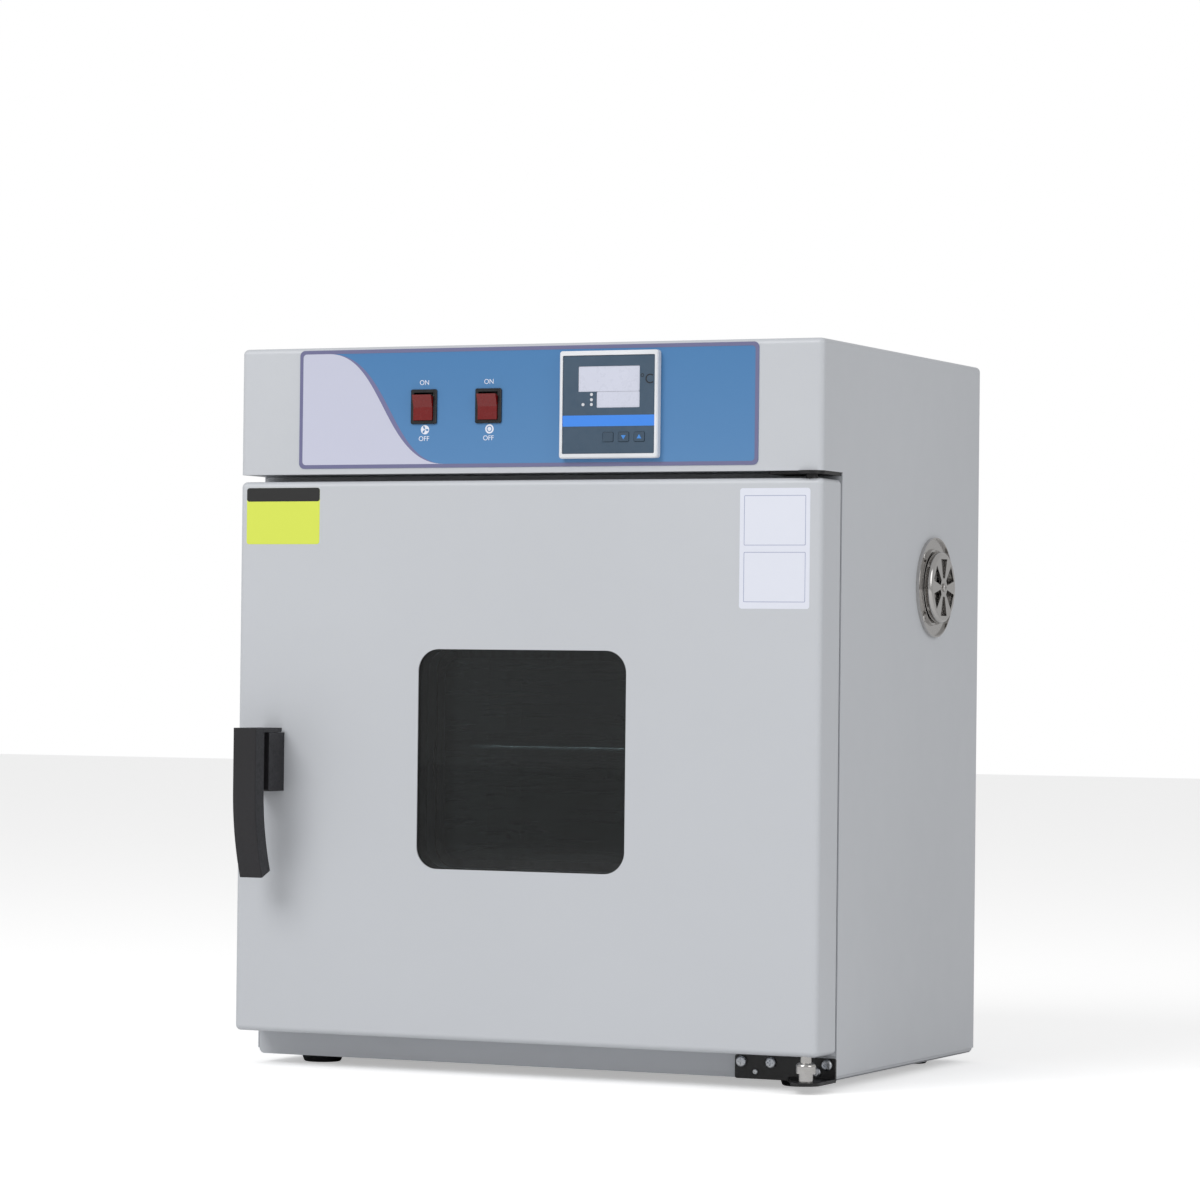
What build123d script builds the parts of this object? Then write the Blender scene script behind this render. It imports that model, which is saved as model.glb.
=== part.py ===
"""Bench-top forced-air incubator: painted cabinet, header with controls, hinged glazed door.

Millimetres. While modelling, X = 0 is the cabinet's middle, Y = 0 the front of the door and
header, and Z = 0 the surface that the feet stand on. The export moves every piece so that
the origin lies under the middle of the whole object's box.
"""

import os
from math import cos, degrees, radians, sin

from build123d import *

# Cabinet
CABINET_W = 578.0
CABINET_D = 405.0
SIDE_H = 648.0
SHEET = 1.2
CORNER_R = 5.0
FOOT_H = 8.0
FOOT_R = 20.0
FOOT_INSET = 48.0
PAN_DROP = 5.0
PLINTH_H = 22.0
HEADER_H = 116.2
HEADER_FLOOR_T = 1.5

# Door
DOOR_T = 45.0
DOOR_STANDOFF = 2.0
DOOR_TOP_GAP = 6.5
DOOR_BOTTOM_GAP = 19.4
DOOR_LIP = 15.0
DOOR_REAR_R = 2.5
WINDOW_W = 206.4
WINDOW_H = 199.0
WINDOW_R = 20.0
WINDOW_DROP = -0.7
GLASS_T = 4.0
GLASS_RIM = 10.0
FRAME_T = 1.5
SEAL_BACK = 22.0
GASKET_W = 12.0

# Chamber
CHAMBER_W = 350.0
CHAMBER_H = 400.0
CHAMBER_D = 290.0
CHAMBER_R = 12.0
CHAMBER_FLOOR = 86.0
LINER_T = 1.0
PLENUM_D = 37.0
INSULATION_T = 50.0

# Shelf
SHELF_Z = 296.5
SHELF_FRONT_SETBACK = 14.0
SHELF_BACK_GAP = 14.0
SHELF_FRAME_R = 2.5
SHELF_WIRE_R = 1.5
SHELF_WIRES = 17
RAIL_H = 12.0
RAIL_W = 11.0
RAIL_T = 1.5

# Controls
PANEL_W = 455.7
PANEL_T = 0.5
PANEL_TOP_MARGIN = 2.6
PANEL_BOTTOM_MARGIN = 5.2
PANEL_R = 5.0
CONTROLLER = 96.0
CONTROLLER_PROUD = 7.4
CONTROLLER_X = 86.0
CONTROLLER_TOP_MARGIN = 8.3
CONTROLLER_CASE = 90.0
CONTROLLER_DEPTH = 70.0
FACE_W = 89.8
FACE_H = 87.7
KEY_W = 10.2
KEY_H = 8.4
KEY_TRAVEL = 0.8
KEY_PITCH = 15.2
SWITCH_W = 26.0
SWITCH_H = 31.4
SWITCH_X = (-100.0, -35.1)
SWITCH_Z_DROP = 55.6
ROCKER_W = 19.0
ROCKER_H = 23.4
ROCKER_PIVOT_DEPTH = 1.0
ROCKER_PROUD = 3.4
ROCKER_TILT = 8.0

# Door handle and latch
HANDLE_X = -251.7
HANDLE_W = 23.4
HANDLE_TOP = 312.0
LEVER_PROUD = 55.0
LEVER_T = 16.5
LEVER_L = 138.5
LEVER_STRAIGHT = 57.0
LEVER_ARC_R = 215.0
LEVER_CAP_T = 4.0
BLOCK_PROUD = 29.5
BLOCK_BOTTOM = 254.0
PIVOT_BACK = 5.0
PIVOT_DROP = 12.0
PIN_R = 2.5
HOOK_T = 7.0
HOOK_REACH = 42.0
STRIKER_R = 3.0
STRIKER_Y = 32.0

# Door hinge
HINGE_INSET = 13.5
HINGE_Y = 8.0
HINGE_PIN_R = 5.0
BRACKET_W = 95.5
BRACKET_T = 3.0
COLLAR_R = 9.0

# Side vent
VENT_Y = 281.6
VENT_Z = 448.3
VENT_FLANGE_R = 46.3
VENT_CAP_R = 33.0
VENT_CAP_PROUD = 10.6
VENT_TUBE_R = 16.0
VENT_SLOTS = 6
VENT_SCREW_PROUD = 1.9

# Blower
FAN_R = 70.0
FAN_BLADES = 12
SHAFT_R = 4.0
MOTOR_R = 38.0
HEATER_R = 92.0
HEATER_TUBE_R = 3.5
HEATER_GAP = 19.0

# Rear inlet
INLET_PROUD = 2.0

# Clearances
RUN = 0.05
FIT = 0.3

# Derived places
HALF_W = CABINET_W / 2
PAN_Z = FOOT_H
SIDE_Z = FOOT_H + PAN_DROP
TOP_Z = SIDE_Z + SIDE_H
HEADER_Z = TOP_Z - HEADER_H
FRAME_Y = DOOR_T + DOOR_STANDOFF
DOOR_Z0 = SIDE_Z + DOOR_BOTTOM_GAP
DOOR_Z1 = HEADER_Z - DOOR_TOP_GAP
WINDOW_Z = (DOOR_Z0 + DOOR_Z1) / 2 - WINDOW_DROP
CHAMBER_Z = CHAMBER_FLOOR + CHAMBER_H / 2
LINER_BACK = FRAME_Y + CHAMBER_D
DUCT_Y = LINER_BACK - PLENUM_D
PIVOT_Y = -PIVOT_BACK
PIVOT_Z = HANDLE_TOP - PIVOT_DROP
HINGE_X = HALF_W - HINGE_INSET
PANEL_Z0 = HEADER_Z + PANEL_BOTTOM_MARGIN
PANEL_Z1 = TOP_Z - PANEL_TOP_MARGIN
CONTROLLER_Z = TOP_Z - CONTROLLER_TOP_MARGIN - CONTROLLER / 2
SWITCH_Z = TOP_Z - SWITCH_Z_DROP
FRAME_Z0 = PAN_Z + PLINTH_H + FIT

parts = {}


def block(x0, x1, y0, y1, z0, z1):
    """A box between two corners."""
    centre = Pos((x0 + x1) / 2, (y0 + y1) / 2, (z0 + z1) / 2)
    return centre * Box(x1 - x0, y1 - y0, z1 - z0)


def rod_x(r, x0, x1, y, z):
    return Pos((x0 + x1) / 2, y, z) * Rot(0, 90, 0) * Cylinder(r, x1 - x0)


def rod_y(r, y0, y1, x, z):
    return Pos(x, (y0 + y1) / 2, z) * Rot(90, 0, 0) * Cylinder(r, y1 - y0)


def rod_z(r, z0, z1, x, y):
    return Pos(x, y, (z0 + z1) / 2) * Cylinder(r, z1 - z0)


def slab_xz(w, h, r, y0, y1, x=0.0, z=0.0):
    """A plate facing the front, with rounded corners."""
    face = RectangleRounded(w, h, r)
    return Pos(x, y0, z) * Rot(90, 0, 0) * extrude(face, amount=-(y1 - y0))


def ring_xz(w, h, r, width, y0, y1, z):
    """A rounded frame facing the front; w, h and r are its opening's."""
    outside = slab_xz(w + 2 * width, h + 2 * width, r + width, y0, y1, 0, z)
    return outside - slab_xz(w, h, r, y0 - 1, y1 + 1, 0, z)


def screw_head(r, height):
    """A pan head on the XY plane with a cross recess."""
    head = Pos(0, 0, height / 2) * Cylinder(r, height)
    head = fillet(head.edges().sort_by(Axis.Z)[-1], height * 0.6)
    recess = Box(r * 1.1, r * 0.25, height) + Box(r * 0.25, r * 1.1, height)
    return head - Pos(0, 0, height * 1.1) * recess


def group(pieces):
    return Compound(children=list(pieces))


def make_outer_shell():
    """One folded sheet: top, both sides and the front of the header."""
    skin = block(-HALF_W, HALF_W, 0, CABINET_D, SIDE_Z, TOP_Z)
    rounded = skin.edges().group_by(Axis.Y)[0].filter_by(Axis.Z)
    rounded += skin.edges().group_by(Axis.Z)[-1].filter_by(Axis.X, reverse=True)
    rounded += skin.edges().group_by(Axis.Z)[-1].sort_by(Axis.Y)[:1]
    skin = fillet(rounded, CORNER_R)
    inner = block(-HALF_W + SHEET, HALF_W - SHEET, SHEET, CABINET_D, SIDE_Z, TOP_Z - SHEET)
    inside = inner.edges().group_by(Axis.Y)[0].filter_by(Axis.Z)
    inside += inner.edges().group_by(Axis.Z)[-1].filter_by(Axis.X, reverse=True)
    inside += inner.edges().group_by(Axis.Z)[-1].sort_by(Axis.Y)[:1]
    skin -= fillet(inside, CORNER_R - SHEET)
    skin -= block(-HALF_W - 1, HALF_W + 1, -1, FRAME_Y, SIDE_Z - 1, HEADER_Z)
    skin -= slab_xz(CONTROLLER_CASE + 1, CONTROLLER_CASE + 1, 1, -1, SHEET + 1,
                    CONTROLLER_X, CONTROLLER_Z)
    for x in SWITCH_X:
        skin -= block(x - SWITCH_W / 2 + 2, x + SWITCH_W / 2 - 2, -1, SHEET + 1,
                      SWITCH_Z - SWITCH_H / 2 + 2, SWITCH_Z + SWITCH_H / 2 - 2)
    return skin - rod_x(VENT_TUBE_R + FIT, HALF_W - 5, HALF_W + 5, VENT_Y, VENT_Z)


def make_header_floor():
    """Closes the header from below, with a flange turned up at the back."""
    side = HALF_W - SHEET
    back = FRAME_Y + 14
    floor = block(-side, side, SHEET, back, HEADER_Z, HEADER_Z + HEADER_FLOOR_T)
    floor = fillet(floor.edges().filter_by(Axis.Z).group_by(Axis.Y)[0], CORNER_R)
    flange = block(-side, side, back - HEADER_FLOOR_T, back, HEADER_Z, HEADER_Z + 12)
    return floor + flange


def make_base_pan():
    """A tray whose front wall is the plinth that shows below the door."""
    side = HALF_W - SHEET - FIT
    top = PAN_Z + PLINTH_H
    pan = block(-side, side, FRAME_Y, CABINET_D - SHEET, PAN_Z, top)
    pan = fillet(pan.edges().filter_by(Axis.Y).group_by(Axis.Z)[0], CORNER_R)
    pan -= block(-side + SHEET, side - SHEET, FRAME_Y + SHEET, CABINET_D - 2 * SHEET,
                 PAN_Z + SHEET, top + 1)
    return pan


def make_back_panel():
    """The rear sheet with two banks of cooling slots and the inlet's opening."""
    side = HALF_W - SHEET - FIT
    panel = block(-side, side, CABINET_D - SHEET, CABINET_D, PAN_Z, TOP_Z - SHEET - FIT)
    panel = fillet(panel.edges().filter_by(Axis.Y), CORNER_R)
    for bank_z, rows in ((CHAMBER_Z, 7), (HEADER_Z + 45, 4)):
        for row in range(rows):
            z = bank_z + (row - (rows - 1) / 2) * 12
            for x in (-32, 32):
                panel -= slab_xz(50, 4, 1.9, CABINET_D - 3, CABINET_D + 1, x, z)
    x, z = inlet_place()
    return panel - slab_xz(29, 22, 3, CABINET_D - 3, CABINET_D + 1, x, z)


def inlet_place():
    return -HALF_W + 80, PAN_Z + 70


def make_back_screws():
    heads = []
    for x in (-HALF_W + 12, 0, HALF_W - 12):
        for z in (SIDE_Z + 14, CHAMBER_Z + 110, TOP_Z - 14):
            heads.append(Pos(x, CABINET_D, z) * Rot(-90, 0, 0) * screw_head(3.6, 2.0))
    return group(heads)


def make_front_frame():
    """The painted frame that the door closes against."""
    side = HALF_W - SHEET - FIT
    frame = block(-side, side, FRAME_Y, FRAME_Y + SHEET, FRAME_Z0, HEADER_Z - FIT)
    opening = slab_xz(CHAMBER_W, CHAMBER_H, CHAMBER_R, FRAME_Y - 1, FRAME_Y + 3, 0, CHAMBER_Z)
    folds = block(-side, -side + SHEET, FRAME_Y, FRAME_Y + 16, FRAME_Z0, HEADER_Z - FIT)
    folds += block(side - SHEET, side, FRAME_Y, FRAME_Y + 16, FRAME_Z0, HEADER_Z - FIT)
    return frame + folds - opening


def make_chamber_liner():
    """The stainless tub with a flange behind the front frame."""
    y0 = FRAME_Y + SHEET
    w, h = CHAMBER_W + 2 * LINER_T, CHAMBER_H + 2 * LINER_T
    tub = slab_xz(w, h, CHAMBER_R + LINER_T, y0, LINER_BACK, 0, CHAMBER_Z)
    tub += slab_xz(w + 30, h + 30, CHAMBER_R, y0, y0 + LINER_T, 0, CHAMBER_Z)
    tub -= slab_xz(CHAMBER_W, CHAMBER_H, CHAMBER_R, y0 - 1, LINER_BACK - LINER_T, 0, CHAMBER_Z)
    tub -= rod_y(SHAFT_R + 4, LINER_BACK - 5, LINER_BACK + 5, 0, CHAMBER_Z)
    for x, z in heater_ends():
        tub -= rod_y(HEATER_TUBE_R + FIT, LINER_BACK - 5, LINER_BACK + 5, x, z)
    tub -= rod_x(VENT_TUBE_R + 0.02, CHAMBER_W / 2 - 3, CHAMBER_W / 2 + 5, VENT_Y, VENT_Z)
    probe_y, probe_z = probe_place()
    return tub - rod_x(3.0 + FIT, CHAMBER_W / 2 - 3, CHAMBER_W / 2 + 5, probe_y, probe_z)


def make_cabinet_insulation():
    """Mineral wool around the tub, cut out for the vent tube, probe and motor."""
    y0 = FRAME_Y + SHEET + LINER_T + FIT
    w = CHAMBER_W + 2 * (LINER_T + FIT)
    h = CHAMBER_H + 2 * (LINER_T + FIT)
    wool = slab_xz(w + 2 * INSULATION_T, h + 2 * INSULATION_T, CHAMBER_R, y0,
                   LINER_BACK + 22, 0, CHAMBER_Z)
    wool -= slab_xz(w, h, CHAMBER_R + LINER_T, y0 - 1, LINER_BACK + FIT, 0, CHAMBER_Z)
    wool -= block(-80, 80, LINER_BACK - 1, LINER_BACK + 40, CHAMBER_Z - 110, CHAMBER_Z + 60)
    wool -= rod_x(VENT_TUBE_R + FIT, CHAMBER_W / 2, HALF_W, VENT_Y, VENT_Z)
    probe_y, probe_z = probe_place()
    return wool - rod_x(4.0, CHAMBER_W / 2, HALF_W, probe_y, probe_z)


def make_duct_plate():
    """The perforated plate in front of the blower, on four spacers."""
    plate = slab_xz(CHAMBER_W - 2 * FIT, CHAMBER_H - 2 * FIT, CHAMBER_R, DUCT_Y,
                    DUCT_Y + LINER_T, 0, CHAMBER_Z)
    for ring, count, slot in ((20, 8, 9), (36, 12, 12), (52, 16, 13)):
        for k in range(count):
            hole = Pos(0, DUCT_Y, CHAMBER_Z) * Rot(0, 360 / count * k, 0)
            plate -= hole * slab_xz(5, slot, 2.4, -2, 3, 0, ring)
    for side in (-1, 1):
        for column in range(2):
            x = side * (CHAMBER_W / 2 - 22 - column * 16)
            for row in range(9):
                z = CHAMBER_Z + (row - 4) * 36
                plate -= slab_xz(6, 22, 2.9, DUCT_Y - 2, DUCT_Y + 3, x, z)
    spacer_y = LINER_BACK - LINER_T
    for x in (-CHAMBER_W / 2 + 60, CHAMBER_W / 2 - 60):
        for z in (CHAMBER_Z - 160, CHAMBER_Z + 160):
            plate += rod_y(5, DUCT_Y + LINER_T / 2, spacer_y, x, z)
    return plate


def make_duct_screws():
    heads = []
    for x in (-CHAMBER_W / 2 + 60, CHAMBER_W / 2 - 60):
        for z in (CHAMBER_Z - 160, CHAMBER_Z + 160):
            heads.append(Pos(x, DUCT_Y, z) * Rot(90, 0, 0) * screw_head(4.0, 2.0))
    return group(heads)


def make_fan_impeller():
    """Backing disc, hub and curved blades."""
    y0, y1 = DUCT_Y + 7, LINER_BACK - 8
    wheel = rod_y(FAN_R, y1 - 1.2, y1, 0, CHAMBER_Z) + rod_y(12, y0 + 4, y1, 0, CHAMBER_Z)
    blade_arc = RadiusArc((24, 0), (FAN_R - 2, 14), 60)
    blade = Pos(0, y1 - 1, CHAMBER_Z) * Rot(90, 0, 0) * extrude(trace(blade_arc, 1.4), 22)
    for k in range(FAN_BLADES):
        turn = Pos(0, 0, CHAMBER_Z) * Rot(0, 360 / FAN_BLADES * k, 0) * Pos(0, 0, -CHAMBER_Z)
        wheel += turn * blade
    rim = rod_y(FAN_R, y1 - 22, y1 - 21, 0, CHAMBER_Z) - rod_y(FAN_R - 14, y1 - 30, y1, 0, CHAMBER_Z)
    wheel += rim
    return wheel - rod_y(SHAFT_R + 0.02, y0 - 5, y1 + 5, 0, CHAMBER_Z)


def make_fan_shaft():
    return rod_y(SHAFT_R, DUCT_Y + 8, CABINET_D - 24, 0, CHAMBER_Z)


def make_fan_motor():
    """Round motor with end bells, and a bore that the shaft turns in."""
    y0, y1 = LINER_BACK + 10, CABINET_D - 14
    motor = rod_y(MOTOR_R, y0 + 6, y1 - 6, 0, CHAMBER_Z)
    motor += rod_y(MOTOR_R - 8, y0, y1, 0, CHAMBER_Z)
    for k in range(16):
        turn = Pos(0, 0, CHAMBER_Z) * Rot(0, 22.5 * k, 0) * Pos(0, 0, -CHAMBER_Z)
        motor += turn * block(-1, 1, y0 + 10, y1 - 10, CHAMBER_Z + MOTOR_R - 2,
                              CHAMBER_Z + MOTOR_R + 2.5)
    return motor - rod_y(SHAFT_R + RUN, y0 - 5, y1 - 8, 0, CHAMBER_Z)


def make_motor_bracket():
    """A plate behind the tub that carries the motor on its front bell."""
    y1 = LINER_BACK + 16 - FIT
    plate = slab_xz(150, 90, 8, y1 - 3, y1, 0, CHAMBER_Z)
    plate -= rod_y(MOTOR_R - 8 + 0.1, y1 - 10, y1 + 10, 0, CHAMBER_Z)
    for x in (-66, 66):
        for z in (-36, 36):
            plate += rod_y(5, LINER_BACK, y1 - 2, x, CHAMBER_Z + z)
    return plate


def make_heater():
    """A sheathed ring around the fan, with both ends led out through the tub's back."""
    y = DUCT_Y + 20
    a0, a1 = 270 + HEATER_GAP, 270 - HEATER_GAP + 360
    plane = Plane(origin=(0, y, CHAMBER_Z), x_dir=(1, 0, 0), z_dir=(0, -1, 0))
    path = plane * CenterArc((0, 0), HEATER_R, a0, a1 - a0)
    start = path @ 0
    section = Plane(origin=start, z_dir=path % 0) * Circle(HEATER_TUBE_R)
    ring = sweep(section, path=path)
    for end in (path @ 0, path @ 1):
        ring += Pos(end) * Sphere(HEATER_TUBE_R)
        ring += rod_y(HEATER_TUBE_R, y, LINER_BACK + 12, end.X, end.Z)
    return ring


def heater_ends():
    """Both places where the heater leaves the tub, as X and Z."""
    gap = radians(HEATER_GAP)
    return [(side * HEATER_R * sin(gap), CHAMBER_Z - HEATER_R * cos(gap)) for side in (-1, 1)]


def make_temperature_probe():
    probe_y, probe_z = probe_place()
    rod = rod_x(3.0, CHAMBER_W / 2 - 60, CHAMBER_W / 2 + 30, probe_y, probe_z)
    rod = fillet(rod.edges().sort_by(Axis.X)[0], 2.5)
    return rod + rod_x(6.0, CHAMBER_W / 2 - 4, CHAMBER_W / 2, probe_y, probe_z)


def probe_place():
    return DUCT_Y - 60, CHAMBER_FLOOR + CHAMBER_H - 75


def make_shelf_rails():
    """Two folded channels on the tub's side walls."""
    rails = []
    y0, y1 = FRAME_Y + 8, DUCT_Y - 8
    z = SHELF_Z - SHELF_FRAME_R
    for side in (-1, 1):
        wall = side * CHAMBER_W / 2
        inner = wall - side * RAIL_W
        x0, x1 = sorted((wall, inner))
        ledge = block(x0, x1, y0, y1, z - RAIL_T, z)
        back = sorted((wall, wall - side * RAIL_T))
        upright = block(back[0], back[1], y0, y1, z - RAIL_T, z + RAIL_H)
        over = block(x0, x1, y0, y1, z + RAIL_H, z + RAIL_H + RAIL_T)
        rails.append(ledge + upright + over)
    return group(rails)


def make_wire_shelf():
    """A round-wire frame with cross wires and one long stiffener."""
    half = CHAMBER_W / 2 - RAIL_T - 1.5 - SHELF_FRAME_R
    y0 = FRAME_Y + SHELF_FRONT_SETBACK
    y1 = DUCT_Y - SHELF_BACK_GAP
    z = SHELF_Z + FIT
    outline = RectangleRounded(2 * half, y1 - y0, 10)
    path = Pos(0, (y0 + y1) / 2, z) * outline.wire()
    start = path @ 0
    shelf = sweep(Plane(origin=start, z_dir=path % 0) * Circle(SHELF_FRAME_R), path=path)
    lift = SHELF_FRAME_R - SHELF_WIRE_R + 0.6
    for k in range(SHELF_WIRES):
        x = -half + (k + 1) * 2 * half / (SHELF_WIRES + 1)
        shelf += rod_y(SHELF_WIRE_R, y0, y1, x, z + lift)
    y = (y0 + y1) / 2
    return shelf + rod_x(SHELF_WIRE_R + 0.5, -half, half, y, z - 0.6)


def make_feet():
    feet = []
    for x in (-HALF_W + FOOT_INSET, HALF_W - FOOT_INSET):
        for y in (FRAME_Y + FOOT_INSET - 10, CABINET_D - FOOT_INSET):
            pad = Pos(x, y, FOOT_H / 2) * Cone(FOOT_R - 3, FOOT_R, FOOT_H)
            feet.append(chamfer(pad.edges().sort_by(Axis.Z)[0], 0.8))
    return group(feet)


def make_power_inlet():
    """A recessed appliance inlet with three blades."""
    x, z = inlet_place()
    body = slab_xz(28, 21, 2.5, CABINET_D - 24, CABINET_D, x, z)
    body += slab_xz(50, 26, 4, CABINET_D, CABINET_D + INLET_PROUD, x, z)
    body -= slab_xz(24, 16, 3, CABINET_D - 16, CABINET_D + 5, x, z)
    for dx, dz in ((-7, -2), (0, 3), (7, -2)):
        body += block(x + dx - 1, x + dx + 1, CABINET_D - 17, CABINET_D - 2,
                      z + dz - 2.5, z + dz + 2.5)
    return body


def make_power_relay():
    """The relay that switches the heater, on the header's floor."""
    z = HEADER_Z + HEADER_FLOOR_T
    relay = block(-212, -150, 20, 55, z, z + 24)
    for k in range(4):
        relay += block(-205 + k * 14, -199 + k * 14, 26, 34, z + 24, z + 28)
    return relay


def make_membrane_panel():
    """The thin overlay on the header, open at the controller and switches."""
    h = PANEL_Z1 - PANEL_Z0
    panel = slab_xz(PANEL_W, h, PANEL_R, -PANEL_T, 0, 0, (PANEL_Z0 + PANEL_Z1) / 2)
    panel -= slab_xz(CONTROLLER_CASE + 1, CONTROLLER_CASE + 1, 1, -3, 3,
                     CONTROLLER_X, CONTROLLER_Z)
    for x in SWITCH_X:
        panel -= block(x - SWITCH_W / 2 + 2, x + SWITCH_W / 2 - 2, -3, 3,
                       SWITCH_Z - SWITCH_H / 2 + 2, SWITCH_Z + SWITCH_H / 2 - 2)
    return panel


def make_controller_case():
    """Bezel and case in one moulding, recessed for the face."""
    bezel = slab_xz(CONTROLLER, CONTROLLER, 2.5, -CONTROLLER_PROUD, -PANEL_T,
                    CONTROLLER_X, CONTROLLER_Z)
    front = bezel.edges().group_by(Axis.Y)[0]
    bezel = chamfer(front, 1.0)
    case = slab_xz(CONTROLLER_CASE, CONTROLLER_CASE, 1, -PANEL_T - 1, CONTROLLER_DEPTH,
                   CONTROLLER_X, CONTROLLER_Z)
    case -= slab_xz(CONTROLLER_CASE - 5, CONTROLLER_CASE - 5, 1, 0, CONTROLLER_DEPTH - 2.5,
                    CONTROLLER_X, CONTROLLER_Z)
    case += bezel
    return case - slab_xz(FACE_W + 0.2, FACE_H + 0.2, 1.2, -CONTROLLER_PROUD - 1,
                          -CONTROLLER_PROUD + 4, CONTROLLER_X, CONTROLLER_Z)


def display_places():
    """Middle, width and height of both displays, from the face's own middle."""
    return ((0.1, 22.8, 59.8, 22.8), (9.1, 4.2, 41.9, 14.4))


def led_places():
    return ((-16.7, 9.0), (-16.7, 4.3), (-16.7, 0.0), (-24.9, 0.0))


def key_places():
    return [(-0.2 + k * KEY_PITCH, -29.2) for k in range(3)]


def make_controller_face():
    y0 = -CONTROLLER_PROUD + 1.0
    face = slab_xz(FACE_W, FACE_H, 1.0, y0, y0 + 3, CONTROLLER_X, CONTROLLER_Z)
    for dx, dz, w, h in display_places():
        face -= slab_xz(w, h, 0.8, y0 - 1, y0 + 2, CONTROLLER_X + dx, CONTROLLER_Z + dz)
    for dx, dz in led_places():
        face -= rod_y(1.5, y0 - 1, y0 + 2, CONTROLLER_X + dx, CONTROLLER_Z + dz)
    for dx, dz in key_places():
        face -= slab_xz(KEY_W + 2 * FIT, KEY_H + 2 * FIT, 1.5, y0 - 1, y0 + 2,
                        CONTROLLER_X + dx, CONTROLLER_Z + dz)
    return face


def make_display_windows():
    y0 = -CONTROLLER_PROUD + 1.0
    return group(slab_xz(w - 0.2, h - 0.2, 0.7, y0 + 0.4, y0 + 2,
                         CONTROLLER_X + dx, CONTROLLER_Z + dz)
                 for dx, dz, w, h in display_places())


def make_indicator_leds():
    y0 = -CONTROLLER_PROUD + 1.0
    return group(rod_y(1.4, y0 - 0.3, y0 + 2, CONTROLLER_X + dx, CONTROLLER_Z + dz)
                 for dx, dz in led_places())


def make_key(number):
    dx, dz = key_places()[number]
    y0 = -CONTROLLER_PROUD + 1.0
    key = slab_xz(KEY_W, KEY_H, 1.2, y0 - 0.6, y0 + 2 - KEY_TRAVEL - 0.1,
                  CONTROLLER_X + dx, CONTROLLER_Z + dz)
    return fillet(key.edges().group_by(Axis.Y)[0], 0.4)


def make_switch_housing(x):
    """Snap-in frame with a hollow body behind the fascia."""
    frame = slab_xz(SWITCH_W, SWITCH_H, 1.5, -PANEL_T - 2, -PANEL_T, x, SWITCH_Z)
    frame = chamfer(frame.edges().group_by(Axis.Y)[0], 0.6)
    frame += block(x - SWITCH_W / 2 + 2.2, x + SWITCH_W / 2 - 2.2, -PANEL_T - 1, 22,
                   SWITCH_Z - SWITCH_H / 2 + 2.2, SWITCH_Z + SWITCH_H / 2 - 2.2)
    w, h = ROCKER_W / 2 + FIT, rocker_opening_half()
    frame -= block(x - w, x + w, -5, 14, SWITCH_Z - h, SWITCH_Z + h)
    for dz in (-8, 0, 8):
        frame += block(x - 3, x + 3, 21, 31, SWITCH_Z + dz - 0.4, SWITCH_Z + dz + 0.4)
    return frame - rod_x(1.5 + RUN, x - w - 1.5, x + w + 1.5, ROCKER_PIVOT_DEPTH, SWITCH_Z)


def rocker_opening_half():
    """Half the height that the rocker sweeps between its two positions, with room."""
    reach = ROCKER_PIVOT_DEPTH + PANEL_T + ROCKER_PROUD + ROCKER_H / 2 * sin(radians(ROCKER_TILT))
    tilt = radians(ROCKER_TILT)
    return ROCKER_H / 2 * cos(tilt) + reach * sin(tilt) + FIT


def make_rocker(x):
    """A shallow V of two pads on a pin, resting with its lower pad pressed in."""
    half = ROCKER_H / 2
    dip = ROCKER_PIVOT_DEPTH + PANEL_T + ROCKER_PROUD
    tip = dip + half * sin(radians(ROCKER_TILT))
    section = Polyline((-dip, 0), (-tip, half), (2.5, half * 0.6), (5.5, 0), (2.5, -half * 0.6),
                       (-tip, -half), close=True)
    prism = extrude(Plane.YZ * make_face(section), ROCKER_W / 2, both=True)
    prism += rod_x(1.5, -ROCKER_W / 2 - FIT - 1, ROCKER_W / 2 + FIT + 1, 0, 0)
    return Pos(x, ROCKER_PIVOT_DEPTH, SWITCH_Z) * Rot(ROCKER_TILT, 0, 0) * prism


def make_door_skin():
    """A folded tray with rounded edges, lips turned in at the back, and its cut-outs."""
    skin = block(-HALF_W, HALF_W, 0, DOOR_T, DOOR_Z0, DOOR_Z1)
    front = skin.faces().sort_by(Axis.Y)[0].edges()
    upright = skin.edges().filter_by(Axis.Y)
    skin = fillet(front + upright, CORNER_R)
    rear = skin.faces().sort_by(Axis.Y)[-1].edges()
    skin = fillet(rear, DOOR_REAR_R)
    skin -= door_hollow()
    skin -= block(-HALF_W + DOOR_LIP, HALF_W - DOOR_LIP, DOOR_T - 5, DOOR_T + 1,
                  DOOR_Z0 + DOOR_LIP, DOOR_Z1 - DOOR_LIP)
    skin -= slab_xz(WINDOW_W, WINDOW_H, WINDOW_R, -1, SHEET + 1, 0, WINDOW_Z)
    skin -= tail_slot(-1, SHEET + 1)
    skin -= rod_z(HINGE_PIN_R + 0.6, DOOR_Z0 - 5, DOOR_Z0 + 5, HINGE_X, HINGE_Y)
    return skin - rod_z(HINGE_PIN_R + 0.6, DOOR_Z1 - 5, DOOR_Z1 + 5, HINGE_X, HINGE_Y)


def door_hollow():
    """The space inside the door's skin, one sheet in from its outside."""
    s = SHEET
    hollow = block(-HALF_W + s, HALF_W - s, s, DOOR_T - s, DOOR_Z0 + s, DOOR_Z1 - s)
    front = hollow.faces().sort_by(Axis.Y)[0].edges()
    hollow = fillet(front + hollow.edges().filter_by(Axis.Y), CORNER_R - s)
    return fillet(hollow.faces().sort_by(Axis.Y)[-1].edges(), DOOR_REAR_R - s)


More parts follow.
